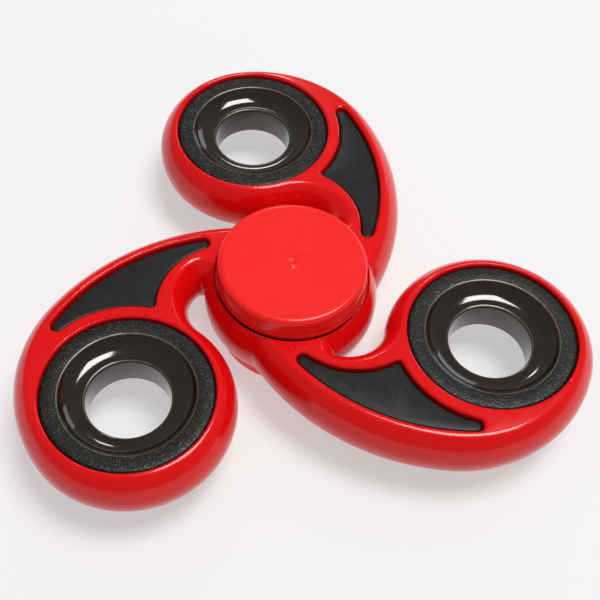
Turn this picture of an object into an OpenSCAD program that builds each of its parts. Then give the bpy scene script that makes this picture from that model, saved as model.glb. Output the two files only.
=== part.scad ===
// Three-arm swirl fidget spinner: a rigid frame with a weight ring in each arm, turning on a
// 22 x 8 x 7 mm ball bearing that is held between two finger caps.
// Millimetres. The origin is the spinner's centre, +Z is up, arm 1 points along +Y.

/* [Frame] */
// Distance from the spinner's centre to each weight ring's centre
arm_pitch = 29.8; // [27:0.1:36]
// Thickness of the frame from top land to bottom land
frame_thickness = 9; // [8.4:0.1:12]
// How far the rounded side stands out from the edge of the flat land
side_bulge = 2.3; // [1:0.1:3]
// Radius of the hub round the bearing, at its widest
hub_radius = 12.75; // [12.2:0.05:14]
// How far the hub's rounded side stands out from its rim
hub_bulge = 1.35; // [0.8:0.05:1.6]
// Radius of the round lobe that holds a weight ring, at its widest
lobe_radius = 14.95; // [14.4:0.05:17]

/* [Arm curve] */
// Radius of the long outer curve of an arm
outer_curve_radius = 34.4; // [30:0.1:40]
// Radius of the tighter curve that leads the arm into its lobe
shoulder_radius = 20.6; // [17:0.1:26]

/* [Weight ring] */
// Outside diameter of a weight ring
ring_diameter = 24; // [20:0.1:25]
// Height of a weight ring
ring_height = 8.2; // [7:0.1:9]
// Diameter of the hole through a weight ring
ring_bore_diameter = 11.8; // [8:0.1:14]
// Diameter of the polished dish round that hole
ring_dish_diameter = 18.8; // [15:0.1:21]
// Length of the straight wall of the hole
ring_bore_length = 4.4; // [2:0.1:6]

/* [Fins] */
// Thickness of an inlaid fin
fin_thickness = 1.6; // [0.8:0.1:2]
// How far a fin's face lies below the land round it
fin_recess = 0.6; // [0:0.05:1]
// Width of the groove round a fin
fin_gap = 0.2; // [0.05:0.05:0.5]
// Radius of a fin's two rounded ends
fin_tip_radius = 0.8; // [0.7:0.05:1]
// Radius of a fin's middle point
fin_cusp_radius = 0.5; // [0.3:0.05:0.8]

/* [Bearing] */
// Outside diameter of the bearing
bearing_diameter = 22; // [22:0.5:22]
// Width of the bearing
bearing_width = 7; // [7:0.5:7]
// Bore of the bearing
bearing_bore = 8; // [8:0.5:8]
// Diameter of a ball
ball_diameter = 3.97; // [3.5:0.01:4.2]
// Diameter of the circle the ball centres run on
ball_circle_diameter = 15; // [14.5:0.05:15.5]
// Number of balls
ball_count = 7; // [5:1:8]

/* [Caps] */
// Diameter of a cap's face
cap_diameter = 21.5; // [18:0.1:22]
// Diameter of a cap where it meets the hub's rim
cap_base_diameter = 21.9; // [18:0.1:22.2]
// Height of a cap's face above the middle of the spinner
cap_height = 8; // [6.5:0.1:12]
// Depth of the finger dish in a cap's face
cap_dish_depth = 0.45; // [0.1:0.05:1]

/* [Fits] */
// Radial gap between a weight ring and the frame
ring_fit = 0.05; // [0.02:0.01:0.2]
// Radial gap between the bearing and the frame
bearing_fit = 0.03; // [0.01:0.01:0.1]
// Radial gap between a cap's stub and the bearing bore
stub_fit = 0.03; // [0.01:0.01:0.1]
// Radial gap between the lower cap's pin and the upper cap's socket
pin_fit = 0.05; // [0.02:0.01:0.2]
// Running gap between a ball and what it rolls in
ball_fit = 0.04; // [0.02:0.01:0.08]
// Gap between parts that pass without touching
free_gap = 0.35; // [0.3:0.05:0.6]

/* [Hidden] */
$fn = 96;
half_frame = frame_thickness / 2;
ring_centre = [0, arm_pitch];
outer_centre = ring_centre + [-13.4994, -9.2082];
notch_centre = ring_centre + [3.3078, -20.562];
notch_radius = norm(ring_centre - notch_centre) - lobe_radius + 0.4;
shoulder_centre = meet(outer_centre, outer_curve_radius - shoulder_radius,
                       ring_centre, shoulder_radius - lobe_radius, 1);
shoulder_start = heading(outer_centre, shoulder_centre);
shoulder_end = heading(shoulder_centre, ring_centre) - 6;
outer_start = -47;
outer_inner = outer_curve_radius - side_bulge - 4;

ring_radius = ring_diameter / 2;
ring_pocket_radius = ring_radius + ring_fit;
half_ring = ring_height / 2;
ring_bevel = 0.35;
dish_radius = ring_dish_diameter / 2;
dish_inner_radius = ring_bore_diameter / 2 + 0.4;
dish_floor = ring_bore_length / 2 + 0.25;
dish_curve = 3.2;

fin_top = half_frame - fin_recess;
fin_floor = fin_top - fin_thickness;
fin_outer_radius = outer_curve_radius - side_bulge - 1.1;
fin_ring_radius = lobe_radius - 0.8;
fin_notch_centre = ring_centre + [1.639, -19.9809];
fin_notch_radius = fin_outer_radius - 1.3 - norm(outer_centre - fin_notch_centre);

bearing_radius = bearing_diameter / 2;
half_bearing = bearing_width / 2;
bearing_seat_radius = bearing_radius + bearing_fit;
ball_radius = ball_diameter / 2;
ball_circle = ball_circle_diameter / 2;
race_radius = ball_radius + ball_fit;
inner_land_radius = ball_circle - 1.5;
outer_land_radius = ball_circle + 1.5;
shield_seat_radius = bearing_radius - 1.3;
shield_seat_depth = 0.85;
shield_thickness = 0.4;
shield_top = half_bearing - 0.3;
cage_half_width = 0.55;
cage_half_height = half_bearing - shield_seat_depth - 0.2;

cap_radius = cap_diameter / 2;
cap_base_radius = cap_base_diameter / 2;
cap_edge_radius = 0.8;
cap_base = half_bearing + 2 * free_gap;
rim_radius = cap_base_radius + free_gap;
rim_floor = cap_base - free_gap;
cap_boss_radius = inner_land_radius - 0.2;
stub_radius = bearing_bore / 2 - stub_fit;
socket_radius = 2.4;
pin_radius = socket_radius - pin_fit;
cap_dish_radius = cap_radius - cap_edge_radius - 0.4;
cap_dish_curve = (cap_dish_radius * cap_dish_radius + cap_dish_depth * cap_dish_depth)
                 / (2 * cap_dish_depth);

// The point at distance ra from a and rb from b, to the right or left of the line from a to b.
function meet(a, ra, b, rb, side) =
  let (d = norm(b - a),
       u = (b - a) / d,
       along = (ra * ra - rb * rb + d * d) / (2 * d),
       off = sqrt(ra * ra - along * along))
  a + u * along + side * off * [u[1], -u[0]];

// The direction from a to b in degrees.
function heading(a, b) = atan2(b[1] - a[1], b[0] - a[0]);

// The point at distance r from a in the direction ang.
function polar(a, r, ang) = a + r * [cos(ang), sin(ang)];

// The radius of the arc that bulges by b over the frame's thickness.
function bulge_radius(b) = (b * b + half_frame * half_frame) / (2 * b);

// Radial section from radius r_in to a rounded side that is widest at r_out.
module side_section(r_in, r_out, b) {
  r = bulge_radius(b);
  intersection() {
    translate([r_in, -half_frame])
      square([r_out + 1 - r_in, frame_thickness]);
    union() {
      translate([r_out - r, 0])
        circle(r);
      translate([r_in, -half_frame])
        square([r_out - r - r_in, frame_thickness]);
    }
  }
}

// Radial section of a hollow corner: the space inside a side that curves away at radius r_in.
module hollow_section(r_in, b) {
  r = bulge_radius(b);
  difference() {
    translate([0, -half_frame - 1])
      square([r_in + b + 1, frame_thickness + 2]);
    translate([r_in + r, 0])
      circle(r);
  }
}

// A turned sector of the frame about centre c, from angle a0 to a1.
module sector(c, a0, a1, r_in, r_out, b) {
  translate([c[0], c[1], 0])
    rotate([0, 0, a0])
      rotate_extrude(angle = a1 - a0)
        side_section(r_in, r_out, b);
}

// A hollow turned about centre c.
module hollow(c, r, b) {
  translate([c[0], c[1], 0])
    rotate_extrude()
      hollow_section(r, b);
}

// Flat web between the arm's turned sectors.
module arm_web() {
  a0 = outer_start;
  step = (shoulder_start - a0) / 4;
  translate([0, 0, -half_frame])
    linear_extrude(frame_thickness)
      polygon([ring_centre + 0.2 * (notch_centre - ring_centre), notch_centre, [0, 0],
               for (i = [0 : 4]) polar(outer_centre, outer_inner + 1.5, a0 + i * step)]);
}

// One arm without its lobe.
module arm_body() {
  difference() {
    union() {
      sector(outer_centre, outer_start, shoulder_start, outer_inner, outer_curve_radius,
             side_bulge);
      sector(shoulder_centre, shoulder_start, shoulder_end, 2, shoulder_radius, side_bulge);
      arm_web();
    }
    hollow(notch_centre, notch_radius, side_bulge);
  }
}

// One whole arm along +Y.
module arm() {
  arm_body();
  translate(ring_centre)
    rotate_extrude()
      side_section(0, lobe_radius, side_bulge);
}

// Outline of a fin of the arm along +Y, grown by g.
module fin_outline(g) {
  t = fin_tip_radius;
  c = fin_cusp_radius;
  top_tip = meet(outer_centre, fin_outer_radius - t, ring_centre, fin_ring_radius + t, 1);
  low_tip = meet(outer_centre, fin_outer_radius - t, fin_notch_centre, fin_notch_radius + t, -1);
  cusp = meet(ring_centre, fin_ring_radius + c, fin_notch_centre, fin_notch_radius + c, -1);
  difference() {
    intersection() {
      translate(outer_centre)
        circle(fin_outer_radius + g);
      polygon([polar(ring_centre, fin_ring_radius - 1, heading(ring_centre, top_tip)),
               top_tip,
               polar(outer_centre, fin_outer_radius + 6, heading(outer_centre, top_tip)),
               polar(outer_centre, fin_outer_radius + 6, heading(outer_centre, low_tip)),
               low_tip,
               polar(fin_notch_centre, fin_notch_radius - 1, heading(fin_notch_centre, low_tip)),
               polar(fin_notch_centre, fin_notch_radius - 1, heading(fin_notch_centre, cusp)),
               cusp,
               polar(ring_centre, fin_ring_radius - 1, heading(ring_centre, cusp))]);
    }
    translate(ring_centre)
      circle(fin_ring_radius - g);
    translate(fin_notch_centre)
      circle(fin_notch_radius - g);
  }
  translate(top_tip)
    circle(t + g);
  translate(low_tip)
    circle(t + g);
  translate(cusp)
    circle(c + g);
}

// Repeats its children on the three arms.
module on_arms() {
  for (k = [0 : 2])
    rotate([0, 0, 120 * k])
      children();
}

module frame() {
  color([0.85, 0.05, 0.04])
    difference() {
      union() {
        rotate_extrude()
          side_section(0, hub_radius, hub_bulge);
        on_arms()
          arm();
      }
      cylinder(h = frame_thickness + 2, r = bearing_seat_radius, center = true);
      for (m = [0, 1])
        mirror([0, 0, m])
          translate([0, 0, rim_floor])
            cylinder(h = half_frame, r = rim_radius);
      on_arms() {
        translate([0, arm_pitch, 0])
          cylinder(h = frame_thickness + 2, r = ring_pocket_radius, center = true);
        translate([0, 0, fin_floor])
          linear_extrude(frame_thickness)
            fin_outline(fin_gap);
        translate([0, 0, -fin_floor - frame_thickness])
          linear_extrude(frame_thickness)
            fin_outline(fin_gap);
      }
    }
}

// Radial section of a weight ring: speckled land, polished dish and straight hole.
module ring_section() {
  difference() {
    polygon([[ring_bore_diameter / 2, -ring_bore_length / 2],
             [dish_inner_radius, -dish_floor],
             [dish_radius, -half_ring],
             [ring_radius - ring_bevel, -half_ring],
             [ring_radius, -half_ring + ring_bevel],
             [ring_radius, half_ring - ring_bevel],
             [ring_radius - ring_bevel, half_ring],
             [dish_radius, half_ring],
             [dish_inner_radius, dish_floor],
             [ring_bore_diameter / 2, ring_bore_length / 2]]);
    for (m = [0, 1])
      mirror([0, m])
        translate(meet([dish_inner_radius, dish_floor], dish_curve,
                       [dish_radius, half_ring], dish_curve, -1))
          circle(dish_curve);
  }
}

module weight_ring(k) {
  color([0.07, 0.06, 0.055])
    rotate([0, 0, 120 * (k - 1)])
      translate([0, arm_pitch, 0])
        rotate_extrude()
          ring_section();
}

module fin(k, floor_z) {
  color([0.13, 0.13, 0.125])
    rotate([0, 0, 120 * (k - 1)])
      translate([0, 0, floor_z])
        linear_extrude(fin_thickness)
          fin_outline(0);
}

module ring_weight_1() {
  weight_ring(1);
}

module ring_weight_2() {
  weight_ring(2);
}

module ring_weight_3() {
  weight_ring(3);
}

module top_fin_1() {
  fin(1, fin_floor);
}

module top_fin_2() {
  fin(2, fin_floor);
}

module top_fin_3() {
  fin(3, fin_floor);
}

module bottom_fin_1() {
  fin(1, -fin_top);
}

module bottom_fin_2() {
  fin(2, -fin_top);
}

module bottom_fin_3() {
  fin(3, -fin_top);
}

module bearing_outer_ring() {
  color([0.75, 0.75, 0.76])
    rotate_extrude()
      difference() {
        translate([outer_land_radius, -half_bearing])
          square([bearing_radius - outer_land_radius, bearing_width]);
        translate([ball_circle, 0])
          circle(race_radius);
        for (m = [0, 1])
          mirror([0, m])
            translate([outer_land_radius - 1, half_bearing - shield_seat_depth])
              square([shield_seat_radius - outer_land_radius + 1, shield_seat_depth + 1]);
      }
}

module bearing_inner_ring() {
  color([0.75, 0.75, 0.76])
    rotate_extrude()
      difference() {
        translate([bearing_bore / 2, -half_bearing])
          square([inner_land_radius - bearing_bore / 2, bearing_width]);
        translate([ball_circle, 0])
          circle(race_radius);
      }
}

module ball(k) {
  color([0.8, 0.8, 0.82])
    rotate([0, 0, 360 * (k - 1) / ball_count])
      translate([ball_circle, 0, 0])
        sphere(ball_radius);
}

module bearing_cage() {
  color([0.8, 0.72, 0.5])
    difference() {
      rotate_extrude()
        translate([ball_circle - cage_half_width, -cage_half_height])
          square([2 * cage_half_width, 2 * cage_half_height]);
      for (k = [1 : ball_count])
        rotate([0, 0, 360 * (k - 1) / ball_count])
          translate([ball_circle, 0, 0])
            sphere(ball_radius + ball_fit);
    }
}

module bearing_ball_1() {
  ball(1);
}

module bearing_ball_2() {
  ball(2);
}

module bearing_ball_3() {
  ball(3);
}

module bearing_ball_4() {
  ball(4);
}

module bearing_ball_5() {
  ball(5);
}

module bearing_ball_6() {
  ball(6);
}

module bearing_ball_7() {
  ball(7);
}

// A thin dished shield that closes one side of the bearing.
module shield() {
  color([0.68, 0.68, 0.7])
    rotate_extrude()
      translate([inner_land_radius + free_gap, shield_top - shield_thickness])
        square([shield_seat_radius - bearing_fit - inner_land_radius - free_gap,
                shield_thickness]);
}

module bearing_shield_top() {
  shield();
}

module bearing_shield_bottom() {
  mirror([0, 0, 1])
    shield();
}

// Radial section of a cap's body: finger dish, round edge, tapered skirt and bearing boss.
module cap_section() {
  difference() {
    union() {
      polygon([[0, cap_base], [cap_base_radius, cap_base],
               [cap_radius, cap_height - cap_edge_radius], [0, cap_height - cap_edge_radius]]);
      translate([0, cap_height - cap_edge_radius])
        square([cap_radius - cap_edge_radius, cap_edge_radius]);
      translate([cap_radius - cap_edge_radius, cap_height - cap_edge_radius])
        circle(cap_edge_radius);
      translate([0, half_bearing])
        square([cap_boss_radius, cap_base - half_bearing + 0.5]);
    }
    translate([0, cap_height + cap_dish_curve - cap_dish_depth])
      circle(cap_dish_curve, $fn = 720);
    translate([-1, 0])
      square([1, 3 * cap_height]);
  }
}

module top_cap() {
  color([0.95, 0.1, 0.09])
    rotate_extrude() {
      cap_section();
      translate([socket_radius, -half_bearing + 0.5])
        square([stub_radius - socket_radius, bearing_width]);
    }
}

module bottom_cap() {
  color([0.95, 0.1, 0.09])
    mirror([0, 0, 1])
      rotate_extrude() {
        cap_section();
        translate([0, -half_bearing + 0.5])
          square([pin_radius, bearing_width]);
      }
}

frame();
ring_weight_1();
ring_weight_2();
ring_weight_3();
top_fin_1();
top_fin_2();
top_fin_3();
bottom_fin_1();
bottom_fin_2();
bottom_fin_3();
bearing_outer_ring();
bearing_inner_ring();
bearing_cage();
bearing_ball_1();
bearing_ball_2();
bearing_ball_3();
bearing_ball_4();
bearing_ball_5();
bearing_ball_6();
bearing_ball_7();
bearing_shield_top();
bearing_shield_bottom();
top_cap();
bottom_cap();
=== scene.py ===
import math

import bpy
from mathutils import Matrix, Vector


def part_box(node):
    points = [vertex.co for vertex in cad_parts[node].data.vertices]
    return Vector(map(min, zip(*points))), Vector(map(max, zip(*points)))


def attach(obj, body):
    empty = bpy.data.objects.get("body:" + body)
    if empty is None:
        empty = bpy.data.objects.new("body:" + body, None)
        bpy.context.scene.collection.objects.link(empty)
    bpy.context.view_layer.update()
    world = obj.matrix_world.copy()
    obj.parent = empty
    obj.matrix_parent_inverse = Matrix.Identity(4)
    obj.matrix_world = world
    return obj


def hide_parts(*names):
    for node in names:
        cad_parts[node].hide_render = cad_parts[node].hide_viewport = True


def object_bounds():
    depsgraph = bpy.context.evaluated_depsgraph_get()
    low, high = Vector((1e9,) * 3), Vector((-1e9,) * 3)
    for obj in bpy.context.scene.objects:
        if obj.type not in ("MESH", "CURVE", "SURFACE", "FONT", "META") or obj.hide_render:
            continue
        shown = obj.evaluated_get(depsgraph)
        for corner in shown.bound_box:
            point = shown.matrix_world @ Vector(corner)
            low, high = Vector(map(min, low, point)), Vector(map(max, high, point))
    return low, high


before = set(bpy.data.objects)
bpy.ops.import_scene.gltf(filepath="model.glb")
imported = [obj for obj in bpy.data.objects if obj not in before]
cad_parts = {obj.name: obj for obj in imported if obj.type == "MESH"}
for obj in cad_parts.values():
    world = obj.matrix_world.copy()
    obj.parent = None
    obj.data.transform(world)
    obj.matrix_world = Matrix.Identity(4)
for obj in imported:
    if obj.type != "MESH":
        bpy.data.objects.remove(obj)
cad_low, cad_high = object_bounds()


# ---- The frame --------------------------------------------------------------------------------
# One injection moulding in glossy red plastic. Three swirled arms run out from a round hub, and
# every side is rounded. The hub takes the bearing, and each arm a weight ring and two fins.

MM = 0.001
TURN = 2 * math.pi


class Socket:
    """A shader output that sums can be written with."""

    def __init__(self, finish, link):
        self.finish, self.link = finish, link

    def maths(self, how, a, b):
        return self.finish.node("ShaderNodeMath", {"operation": how}, {0: a, 1: b})

    def __add__(self, other):
        return self.maths("ADD", self, other)

    def __mul__(self, other):
        return self.maths("MULTIPLY", self, other)

    __radd__, __rmul__ = __add__, __mul__


class Finish:
    """One material: its shader, and the nodes that feed it."""

    def __init__(self, name, colour, roughness, **fixed):
        self.material = bpy.data.materials.new(name)
        self.material.use_nodes = True
        self.material.diffuse_color = (*colour, 1)
        self.tree = self.material.node_tree
        self.shader = self.tree.nodes["Principled BSDF"]
        self.shader.inputs["Base Color"].default_value = (*colour, 1)
        self.shader.inputs["Roughness"].default_value = roughness
        for socket, value in fixed.items():
            self.shader.inputs[socket.replace("_", " ")].default_value = value

    def node(self, kind, settings=None, values=None, output=0):
        made = self.tree.nodes.new(kind)
        for key, value in (settings or {}).items():
            setattr(made, key, value)
        for key, value in (values or {}).items():
            if isinstance(value, Socket):
                self.tree.links.new(value.link, made.inputs[key])
            else:
                made.inputs[key].default_value = value
        return Socket(self, made.outputs[output])

    def noise(self, size, detail=3.0):
        place = self.node("ShaderNodeTexCoord", output=3)
        return self.node("ShaderNodeTexNoise", None,
                         {"Vector": place, "Scale": 1 / size, "Detail": detail})

    def spread(self, value, low, high, to_low, to_high):
        return self.node("ShaderNodeMapRange", None,
                         {"Value": value, 1: low, 2: high, 3: to_low, 4: to_high})

    def blend(self, factor, one, other):
        return self.node("ShaderNodeMix", {"data_type": "RGBA"},
                         {"Factor": factor, 6: (*one, 1), 7: (*other, 1)}, output=2)

    def bumps(self, height, depth):
        return self.node("ShaderNodeBump", None, {"Height": height, "Distance": depth})

    def feed(self, **sockets):
        for socket, value in sockets.items():
            self.tree.links.new(value.link, self.shader.inputs[socket.replace("_", " ")])


def heading(a, b):
    """The direction from a to b."""
    return math.atan2(b.y - a.y, b.x - a.x)


def polar(a, reach, way):
    """The point that far from a in that direction."""
    return a + reach * Vector((math.cos(way), math.sin(way)))


def meet(a, reach_a, b, reach_b, side):
    """The point at those distances from a and b, right (1) or left (-1) of the way from a to b."""
    way = b - a
    along = (reach_a ** 2 - reach_b ** 2 + way.length_squared) / (2 * way.length)
    off = math.sqrt(reach_a ** 2 - along ** 2)
    way.normalize()
    return a + along * way + side * off * Vector((way.y, -way.x))


def begin(name, point, height):
    """Starts a piece as one point, in edit mode."""
    bpy.ops.object.select_all(action="DESELECT")
    bpy.ops.mesh.primitive_plane_add(size=MM, location=(point.x, point.y, height))
    piece = bpy.context.object
    piece.name = piece.data.name = name
    bpy.ops.object.transform_apply(location=True, rotation=False, scale=False)
    bpy.ops.object.mode_set(mode="EDIT")
    bpy.ops.mesh.select_mode(type="VERT")
    bpy.ops.mesh.select_all(action="SELECT")
    bpy.ops.mesh.merge(type="CENTER")
    return piece


def sweep(centre, turn, chord_radius, height, chord=0.55 * MM):
    """Draws the outline on along an arc about centre. A positive turn is anticlockwise."""
    steps = max(3, math.ceil(abs(turn) * chord_radius / chord))
    bpy.ops.mesh.spin(steps=steps, angle=-turn, axis=(0, 0, 1),
                      center=(centre.x, centre.y, height))


def close_outline(face_up):
    """Joins the outline's ends and fills it with one face that looks up or down."""
    mesh = bpy.context.object
    bpy.ops.mesh.select_all(action="SELECT")
    bpy.ops.mesh.remove_doubles(threshold=0.02 * MM)
    bpy.ops.mesh.select_mode(type="VERT")
    bpy.ops.mesh.select_all(action="SELECT")
    bpy.ops.mesh.edge_face_add()
    bpy.ops.mesh.select_mode(type="FACE")
    bpy.ops.mesh.select_all(action="SELECT")
    mesh.update_from_editmode()
    if (mesh.data.polygons[0].normal.z > 0) != face_up:
        bpy.ops.mesh.flip_normals()


def round_over(side):
    """Steps the chosen face along a rounded side, given as (inwards, onwards) distances."""
    for (x0, z0), (x1, z1) in zip(side, side[1:]):
        bpy.ops.mesh.inset(thickness=x1 - x0, depth=z1 - z0, use_even_offset=True)


def edge_round(radius, steps=5, upto=TURN / 4):
    """A rounded edge from a wall over to a flat, as (inwards, onwards) distances."""
    return [(radius * (1 - math.cos(a)), radius * math.sin(a))
            for a in [upto * i / steps for i in range(steps + 1)]]


def turn_up(name, profile, steps, centre=Vector((0, 0))):
    """A solid turned about an upright axis from (radius, height) points."""
    closed = [*profile, profile[0]] if profile[0][0] > 0 else profile
    r0, z0 = closed[0]
    piece = begin(name, centre + Vector((r0, 0)), z0)
    for r1, z1 in closed[1:]:
        bpy.ops.mesh.extrude_region_move(
            TRANSFORM_OT_translate={"value": (r1 - r0, 0, z1 - z0)})
        r0, z0 = r1, z1
    bpy.ops.mesh.select_all(action="SELECT")
    bpy.ops.mesh.spin(steps=steps, angle=TURN, axis=(0, 0, 1), center=(centre.x, centre.y, 0))
    finish_mesh()
    return piece


def finish_mesh():
    """Merges what coincides, faces it outwards and leaves edit mode."""
    bpy.ops.mesh.select_all(action="SELECT")
    bpy.ops.mesh.remove_doubles(threshold=0.001 * MM)
    bpy.ops.mesh.normals_make_consistent(inside=False)
    bpy.ops.object.mode_set(mode="OBJECT")


def apply(piece, kind, **settings):
    """Gives a piece a modifier and applies it."""
    bpy.ops.object.select_all(action="DESELECT")
    piece.select_set(True)
    bpy.context.view_layer.objects.active = piece
    bpy.ops.object.modifier_add(type=kind)
    modifier = piece.modifiers[-1]
    for key, value in settings.items():
        setattr(modifier, key, value)
    bpy.ops.object.modifier_apply(modifier=modifier.name)


def carve(piece, how, tool):
    """Joins a tool shape to a piece or cuts it away, and clears the tool."""
    apply(piece, "BOOLEAN", operation=how, object=tool, solver="EXACT")
    bpy.data.objects.remove(tool)


def copy_turned(piece, name, angle, flip=False):
    """A copy with its own mesh, turned about the spinner's axis and perhaps flipped over."""
    bpy.ops.object.select_all(action="DESELECT")
    piece.select_set(True)
    bpy.context.view_layer.objects.active = piece
    bpy.ops.object.duplicate(linked=False)
    twin = bpy.context.object
    twin.name = twin.data.name = name
    twin.rotation_euler.z = angle
    twin.scale.z = -1 if flip else 1
    bpy.ops.object.transform_apply(location=False, rotation=True, scale=True)
    bpy.ops.object.mode_set(mode="EDIT")
    finish_mesh()
    return twin


def join(pieces):
    """Joins pieces into the first one."""
    bpy.ops.object.select_all(action="DESELECT")
    for piece in pieces:
        piece.select_set(True)
    bpy.context.view_layer.objects.active = pieces[0]
    bpy.ops.object.join()
    return pieces[0]


def show(piece, finish, body, stands_for, sharp=35):
    """Gives a finished piece its shading, material and body, and hides the CAD parts it stands
    for.
    """
    bpy.ops.object.select_all(action="DESELECT")
    piece.select_set(True)
    bpy.context.view_layer.objects.active = piece
    bpy.ops.object.shade_smooth_by_angle(angle=math.radians(sharp))
    piece.data.materials.clear()
    piece.data.materials.append(finish.material)
    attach(piece, body)
    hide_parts(*stands_for)


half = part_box("frame")[1].z
ring_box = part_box("ring_weight_1")
pitch = (ring_box[0].y + ring_box[1].y) / 2
ring_radius = (ring_box[1].x - ring_box[0].x) / 2
hub = Vector((0, 0))
ring = Vector((0, pitch))
outer = ring + Vector((-13.4994, -9.2082)) * MM
notch = ring + Vector((3.3078, -20.562)) * MM
hub_radius, hub_bulge = 12.75 * MM, 1.35 * MM
lobe_radius, side_bulge = 14.95 * MM, 2.3 * MM
outer_radius, shoulder_radius = 34.4 * MM, 20.6 * MM
corner_radius, crook_radius = 1.2 * MM, 0.4 * MM
notch_radius = (ring - notch).length - lobe_radius
shoulder = meet(outer, outer_radius - shoulder_radius, ring, shoulder_radius - lobe_radius, 1)
corner = meet(outer, outer_radius + corner_radius, hub, hub_radius + corner_radius, -1)
crook = meet(notch, notch_radius - crook_radius, hub, hub_radius + crook_radius, -1)

side_arc = (side_bulge ** 2 + half ** 2) / (2 * side_bulge)
lean = math.asin(half / side_arc)
side_steps, hub_steps = 12, 180
side = [(side_arc * (1 - math.cos(a)), side_arc * math.sin(a))
        for a in [lean * i / side_steps for i in range(side_steps + 1)]]


def arm_arcs(k):
    """The arcs round arm k, from hub to hub, anticlockwise."""
    turned = Matrix.Rotation(TURN * k / 3, 2)
    swing = TURN * k / 3
    stops = [
        (corner, heading(corner, hub), heading(corner, outer), -1, corner_radius + side_bulge),
        (outer, heading(outer, corner), heading(outer, shoulder), 1, outer_radius),
        (shoulder, heading(outer, shoulder), heading(shoulder, ring), 1, shoulder_radius),
        (ring, heading(shoulder, ring), heading(ring, notch), 1, lobe_radius),
        (notch, heading(notch, ring), heading(notch, crook), -1, notch_radius + side_bulge),
        (crook, heading(notch, crook), heading(crook, hub), -1, crook_radius + side_bulge),
        (hub, heading(hub, crook), heading(hub, corner) + TURN / 3, 1, hub_radius),
    ]
    return [(turned @ centre, first + swing, last + swing, way, reach)
            for centre, first, last, way, reach in stops]


def outline(name, start, arcs, height, face_up=True):
    """A face bounded by arcs, each (centre, start, end, way round, longest radius)."""
    piece = begin(name, start, height)
    for centre, first, last, way, reach in arcs:
        sweep(centre, way * ((way * (last - first)) % TURN), reach, height)
    close_outline(face_up)
    return piece


body = outline("spinner_frame", polar(hub, hub_radius, heading(hub, corner)),
               [arc for k in range(3) for arc in arm_arcs(k)], 0)
round_over(side)
bpy.ops.mesh.region_to_loop()
land_edge = 0.4 * MM
bpy.ops.mesh.bevel(offset=land_edge, segments=4, affect="EDGES")
bpy.ops.object.mode_set(mode="OBJECT")
apply(body, "MIRROR", use_axis=(False, False, True), merge_threshold=0.002 * MM)
bpy.ops.object.mode_set(mode="EDIT")
finish_mesh()

# the collar: the hub's own rounder wall round the bearing
collar_arc = (hub_bulge ** 2 + half ** 2) / (2 * hub_bulge)
collar_lean = math.asin((half - 0.03 * MM) / collar_arc)
wall = [(hub_radius - collar_arc * (1 - math.cos(a)), collar_arc * math.sin(a))
        for a in [collar_lean * (i / side_steps - 1) for i in range(2 * side_steps + 1)]]
collar_bore = 9 * MM
collar = turn_up("collar", [(collar_bore, wall[0][1]), *wall, (collar_bore, wall[-1][1])],
                 hub_steps)
carve(body, "UNION", collar)

# the bearing's seat, and the wider rim round each cap
seat_radius, rim_radius, rim_floor = 11.03 * MM, 11.3 * MM, 3.85 * MM
above = half + 0.5 * MM
rim_edge = 0.14 * MM
cutters = [turn_up("bearing_seat", [(0, -above), (rim_radius + rim_edge, -above),
                                    (rim_radius + rim_edge, -half), (rim_radius, rim_edge - half),
                                    (rim_radius, -rim_floor),
                                    (seat_radius, -rim_floor), (seat_radius, rim_floor),
                                    (rim_radius, rim_floor), (rim_radius, half - rim_edge),
                                    (rim_radius + rim_edge, half), (rim_radius + rim_edge, above),
                                    (0, above)], hub_steps)]

# the rings' holes, with rounded mouths
mouth_radius = 0.4 * MM
mouth = edge_round(mouth_radius, upto=math.radians(85))
pocket_radius = ring_radius + 0.05 * MM
lip = [(pocket_radius + x, half - mouth_radius + z) for x, z in mouth]
upper = [*lip, (lip[-1][0], above)]
pocket = turn_up("ring_pocket", [(0, -above), *[(r, -z) for r, z in reversed(upper)],
                                 *upper, (0, above)], 128, ring)
cutters += [pocket] + [copy_turned(pocket, "ring_pocket", TURN * k / 3) for k in (1, 2)]

# the fins' recesses: the fin's outline grown by the gap round it
fin_outer, fin_inner = outer_radius - side_bulge - 1.1 * MM, lobe_radius - 0.8 * MM
fin_notch = ring + Vector((1.639, -19.9809)) * MM
fin_crook = fin_outer - 1.3 * MM - (outer - fin_notch).length
tip_radius, cusp_radius, fin_edge, fin_gap = 0.8 * MM, 0.5 * MM, 0.35 * MM, 0.2 * MM
high_tip = meet(outer, fin_outer - tip_radius, ring, fin_inner + tip_radius, 1)
low_tip = meet(outer, fin_outer - tip_radius, fin_notch, fin_crook + tip_radius, -1)
cusp = meet(ring, fin_inner + cusp_radius, fin_notch, fin_crook + cusp_radius, -1)
fin_low, fin_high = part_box("top_fin_1")[0].z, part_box("top_fin_1")[1].z


def fin_shape(name, grown, height, face_up):
    """The fin's outline, grown all round."""
    arcs = [
        (outer, heading(outer, low_tip), heading(outer, high_tip), 1, fin_outer),
        (high_tip, heading(outer, high_tip), heading(high_tip, ring), 1, tip_radius + grown),
        (ring, heading(ring, high_tip), heading(ring, cusp), -1, fin_inner),
        (cusp, heading(cusp, ring), heading(cusp, fin_notch), 1, cusp_radius + grown),
        (fin_notch, heading(fin_notch, cusp), heading(fin_notch, low_tip), -1, fin_crook),
        (low_tip, heading(low_tip, fin_notch), heading(outer, low_tip), 1, tip_radius + grown),
    ]
    return outline(name, polar(outer, fin_outer + grown, heading(outer, low_tip)), arcs, height,
                   face_up)


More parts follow.
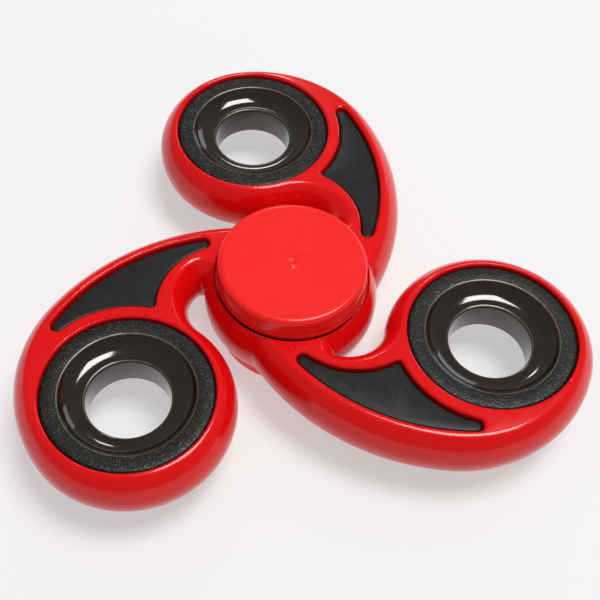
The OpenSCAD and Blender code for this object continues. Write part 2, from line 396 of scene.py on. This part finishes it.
recess = fin_shape("fin_recess", fin_gap + mouth[-1][0], above, face_up=False)
bpy.ops.mesh.extrude_region_move(
    TRANSFORM_OT_translate={"value": (0, 0, half - mouth_radius + mouth[-1][1] - above)})
round_over([(mouth[-1][0] - x, mouth[-1][1] - z) for x, z in reversed(mouth)])
bpy.ops.mesh.extrude_region_move(
    TRANSFORM_OT_translate={"value": (0, 0, fin_low - half + mouth_radius)})
finish_mesh()
cutters += [recess] + [copy_turned(recess, "fin_recess", TURN * k / 3, flip)
                       for flip in (False, True) for k in range(3) if k or flip]
carve(body, "DIFFERENCE", join(cutters))
red_plastic = Finish("red_plastic", (0.78, 0.006, 0.008), 0.2, Specular_IOR_Level=0.2,
                     Coat_Weight=0.35, Coat_Roughness=0.06)
flow = red_plastic.noise(18 * MM, 2)
red_plastic.feed(
    Base_Color=red_plastic.blend(flow, (0.74, 0.002, 0.003), (0.82, 0.004, 0.005)),
    Roughness=0.1 + 0.21 * red_plastic.noise(2.5 * MM, 4),
    Normal=red_plastic.bumps(red_plastic.noise(1.1 * MM, 2), 0.004 * MM))
apply(body, "WEIGHTED_NORMAL", keep_sharp=True)
show(body, red_plastic, "rotor", ["frame"])


# ---- The six fins -----------------------------------------------------------------------------
# Thin dark grey plastic inlays with a satin face and softened edges. Each is pressed and glued
# into its recess, three on the top and three on the underside.

fin_plastic = Finish("fin_plastic", (0.013, 0.013, 0.012), 0.3, Specular_IOR_Level=0.2)
satin = fin_plastic.noise(0.35 * MM, 3)
fin_plastic.feed(
    Base_Color=fin_plastic.blend(fin_plastic.noise(7 * MM), (0.014, 0.014, 0.013),
                                 (0.021, 0.021, 0.020)),
    Roughness=0.17 + 0.33 * fin_plastic.noise(1.5 * MM, 4),
    Normal=fin_plastic.bumps(satin, 0.006 * MM))

fin = fin_shape("top_fin_1", 0, fin_low, face_up=True)
bpy.ops.mesh.extrude_region_move(
    TRANSFORM_OT_translate={"value": (0, 0, fin_high - fin_edge - fin_low)})
round_over(edge_round(fin_edge))
finish_mesh()
fins = {"top_fin_1": fin}
for face, flip in (("top", False), ("bottom", True)):
    for k in range(3):
        name = f"{face}_fin_{k + 1}"
        if name not in fins:
            fins[name] = copy_turned(fin, name, TURN * k / 3, flip)
for name, piece in fins.items():
    piece.name = piece.data.name = name + "_inlay"
    show(piece, fin_plastic, "rotor", [name])


# ---- The three weight rings -------------------------------------------------------------------
# Cast metal rings with a black nickel finish that give the arms their weight. The outer land is
# left as cast, and the dish and hole are polished. Each is a press fit in its arm.

bore_radius, dish_inner, dish_outer = 5.9 * MM, 6.3 * MM, 9.4 * MM
dish_floor, land = 2.45 * MM, ring_box[1].z
edge, bore_edge = 0.5 * MM, 0.4 * MM
dish_curve, rim_width = 3.2 * MM, 0.2 * MM
low_rim, high_rim = Vector((dish_inner, dish_floor)), Vector((dish_outer, land - 0.1 * MM))
sweep_centre = meet(low_rim, dish_curve, high_rim, dish_curve, -1)
first, last = heading(sweep_centre, low_rim), heading(sweep_centre, high_rim)
dish = [tuple(polar(sweep_centre, dish_curve, first + (last - first) * i / 16)) for i in range(17)]
upper = [*[(bore_radius + x, dish_floor - bore_edge + z) for x, z in edge_round(bore_edge)][:-1],
         *dish, (dish_outer + 0.08 * MM, land - 0.04 * MM), (dish_outer + rim_width, land),
         *[(ring_radius - x, land - edge + z) for x, z in reversed(edge_round(edge))]]
ring_profile = [*upper, *[(r, -z) for r, z in reversed(upper)]]

cast_metal = Finish("cast_ring_metal", (0.01, 0.008, 0.006), 0.4, Metallic=0.2,
                    Specular_IOR_Level=0.35)
grain = cast_metal.noise(0.28 * MM, 3)
cast_metal.feed(
    Base_Color=cast_metal.blend(cast_metal.spread(grain, 0.55, 0.68, 0, 1), (0.006, 0.005, 0.004),
                                (0.075, 0.064, 0.05)),
    Roughness=cast_metal.spread(grain, 0.4, 0.7, 0.5, 0.2),
    Normal=cast_metal.bumps(grain + 0.5 * cast_metal.noise(0.9 * MM), 0.06 * MM))
polished_metal = Finish("polished_ring_metal", (0.02, 0.013, 0.009), 0.1, Metallic=0.4,
                        Coat_Weight=0.8, Coat_Roughness=0.07, Coat_IOR=1.5)
polished_metal.feed(
    Base_Color=polished_metal.blend(polished_metal.noise(4 * MM), (0.012, 0.007, 0.004),
                                    (0.042, 0.024, 0.015)),
    Roughness=0.01 + 0.2 * polished_metal.noise(0.8 * MM, 4))

# the lighter rims round the dish and the hole: partly edge wear, partly a painted highlight line
# where these edges catch the light
edge_wear_and_highlight = Finish("ring_edge_wear_and_highlight", (0.12, 0.11, 0.09), 0.38, Metallic=0.7)
edge_wear_and_highlight.feed(Base_Color=edge_wear_and_highlight.blend(edge_wear_and_highlight.noise(1.2 * MM), (0.05, 0.045, 0.035),
                                          (0.24, 0.22, 0.18)))

weight = turn_up("ring_weight_1_metal", ring_profile, 160, ring)
rings = [weight] + [copy_turned(weight, f"ring_weight_{k + 1}_metal", TURN * k / 3)
                    for k in (1, 2)]
hole_rim = (bore_radius * 1.01, bore_radius * 1.045)
for k, piece in enumerate(rings):
    show(piece, cast_metal, "rotor", [f"ring_weight_{k + 1}"])
    piece.data.materials.append(polished_metal.material)
    piece.data.materials.append(edge_wear_and_highlight.material)
    axis = Matrix.Rotation(TURN * k / 3, 2) @ ring
    for face in piece.data.polygons:
        reach = (face.center.xy - axis).length
        if reach < dish_outer:
            face.material_index = 1
        # the dish rim and the hole rim take the lighter edge colour, partly wear and partly a
        # painted highlight
        if dish_outer < reach < dish_outer + rim_width or hole_rim[0] < reach < hole_rim[1]:
            face.material_index = 2


# ---- The bearing ------------------------------------------------------------------------------
# A shielded ball bearing of polished steel: two rings, seven balls, a brass cage and a pressed
# shield on each side. The caps cover it, so little of it is ever seen.

def steel(name, colour, roughness, depth):
    """Ground steel with fine marks."""
    made = Finish(name, colour, roughness, Metallic=1.0)
    made.feed(Roughness=made.spread(made.noise(0.5 * MM, 4), 0.3, 0.7, roughness * 0.7,
                                    roughness * 1.4),
              Normal=made.bumps(made.noise(0.2 * MM, 2), depth))
    return made


bearing_steel = steel("bearing_steel", (0.5, 0.5, 0.51), 0.25, 0.002 * MM)
ball_steel = steel("ball_steel", (0.7, 0.7, 0.71), 0.08, 0.0005 * MM)
cage_brass = steel("cage_metal", (0.62, 0.45, 0.2), 0.3, 0.002 * MM)
shield_steel = steel("shield_steel", (0.4, 0.4, 0.41), 0.32, 0.003 * MM)
for name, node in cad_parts.items():
    for start, finish in (("bearing_ball", ball_steel), ("bearing_cage", cage_brass),
                          ("bearing_shield", shield_steel), ("bearing_", bearing_steel)):
        if name.startswith(start):
            node.data.materials.clear()
            node.data.materials.append(finish.material)
            break


# ---- The two caps -----------------------------------------------------------------------------
# Turned-looking red caps, the finger rests, a little brighter and more satin than the frame. Each
# has a shallow dish. The lower cap's pin presses into the upper cap's stub, through the bearing.

cap_high, half_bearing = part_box("top_cap")[1].z, 3.5 * MM
cap_radius, cap_base_radius, cap_base, cap_edge = 10.75 * MM, 10.95 * MM, 4.2 * MM, 0.8 * MM
boss_radius, stub_radius, socket_radius, pin_radius = 5.8 * MM, 3.97 * MM, 2.4 * MM, 2.35 * MM
stub_end, dish_radius, dish_depth = -3.0 * MM, 9.55 * MM, 0.45 * MM
skirt_line, dimple = 4.85 * MM, 1.1 * MM
cap_side = [(boss_radius, half_bearing), (boss_radius, cap_base),
            (cap_base_radius - 0.15 * MM, cap_base), (cap_base_radius, cap_base + 0.15 * MM),
            (cap_base_radius - 0.02 * MM, skirt_line),
            (cap_base_radius - 0.1 * MM, skirt_line + 0.08 * MM)]
cap_crown = [(cap_radius - x, cap_high - cap_edge + z) for x, z in edge_round(cap_edge, steps=8)]
reaches = [dish_radius - (dish_radius - dimple) * i / 18 for i in range(19)]
cap_dish = [(r, cap_high - dish_depth * (1 - (r / dish_radius) ** 1.3)) for r in reaches]
floor = cap_dish[-1][1]
cap_outside = [*cap_side, *cap_crown, *cap_dish, (dimple * 0.75, floor - 0.03 * MM),
               (dimple * 0.35, floor - 0.13 * MM), (0, floor - 0.17 * MM)]
socket = [(0, half_bearing), (socket_radius, half_bearing), (socket_radius, stub_end),
          (stub_radius, stub_end), (stub_radius, half_bearing)]
pin = [(0, stub_end), (pin_radius, stub_end), (pin_radius, half_bearing)]

cap_plastic = Finish("cap_plastic", (0.97, 0.016, 0.012), 0.28, Specular_IOR_Level=0.2,
                     Coat_Weight=0.3, Coat_Roughness=0.12)
cap_plastic.feed(
    Base_Color=cap_plastic.blend(cap_plastic.noise(9 * MM, 2), (0.94, 0.012, 0.01),
                                 (1.0, 0.018, 0.014)),
    Roughness=0.19 + 0.27 * cap_plastic.noise(1.2 * MM, 4),
    Normal=cap_plastic.bumps(cap_plastic.noise(3 * MM, 1), 0.006 * MM))
top_cap = turn_up("top_cap_shell", [*socket, *cap_outside], 192)
lower = turn_up("lower", [*pin, *cap_outside], 192)
bottom_cap = copy_turned(lower, "bottom_cap_shell", 0, flip=True)
bpy.data.objects.remove(lower)
show(top_cap, cap_plastic, "axle", ["top_cap"], sharp=25)
show(bottom_cap, cap_plastic, "axle", ["bottom_cap"], sharp=25)


# ---- The table, the lights and the camera -----------------------------------------------------
# A plain pale table top that glows a little, as a light table does, a large soft light overhead,
# a small one high on the far side and a faint cool one low beside it.

bpy.ops.object.select_all(action="DESELECT")
bpy.ops.mesh.primitive_plane_add(size=6, location=(0, 0, cad_low.z))
table = bpy.context.object
table.name = "table"
table_top = Finish("table_top", (0.42, 0.42, 0.42), 0.75, Specular_IOR_Level=0.1,
                   Emission_Color=(1, 1, 1, 1), Emission_Strength=0.49)
table.data.materials.append(table_top.material)

world = bpy.data.worlds.new("studio")
bpy.context.scene.world = world
world.use_nodes = True
world.node_tree.nodes["Background"].inputs["Color"].default_value = (0.24, 0.24, 0.245, 1)
bpy.context.scene.view_settings.view_transform = "Standard"


def softbox(name, place, width, power, colour):
    """A square soft light that faces the spinner."""
    light = bpy.data.lights.new(name, "AREA")
    light.size, light.energy, light.color = width, power, colour
    holder = bpy.data.objects.new(name, light)
    holder.location = place
    holder.rotation_euler = (-place).to_track_quat("-Z", "Y").to_euler()
    bpy.context.scene.collection.objects.link(holder)


softbox("overhead", Vector((0.25, 0.02, 1.0)), 0.42, 8.1, (1, 1, 1))
softbox("far_high", Vector((0.16, 0.85, 0.66)), 0.12, 0.55, (1, 1, 1))
softbox("far_side", Vector((0.75, 0.7, 0.3)), 0.4, 0.8, (0.75, 0.87, 1))

azimuth, elevation, roll = math.radians(-12.846), math.radians(56.246), math.radians(2.103)
distance, target = 149.1 * MM, Vector((-5.7, -6.242, 3.818)) * MM
back = Vector((math.sin(azimuth) * math.cos(elevation), -math.cos(azimuth) * math.cos(elevation),
               math.sin(elevation)))
across = Vector((0, 0, 1)).cross(back).normalized()
upward = back.cross(across)
side_axis = across * math.cos(roll) + upward * math.sin(roll)
up_axis = upward * math.cos(roll) - across * math.sin(roll)
spot = target + back * distance
lens = bpy.data.cameras.new("camera")
lens.sensor_width, lens.lens = 36, 63.1
lens.shift_x, lens.shift_y = 0.0647, 0.0314
lens.clip_start = 0.005
camera = bpy.data.objects.new("camera", lens)
rows = [(side_axis[i], up_axis[i], back[i], spot[i]) for i in range(3)]
camera.matrix_world = Matrix((*rows, (0, 0, 0, 1)))
bpy.context.scene.collection.objects.link(camera)
bpy.context.scene.camera = camera
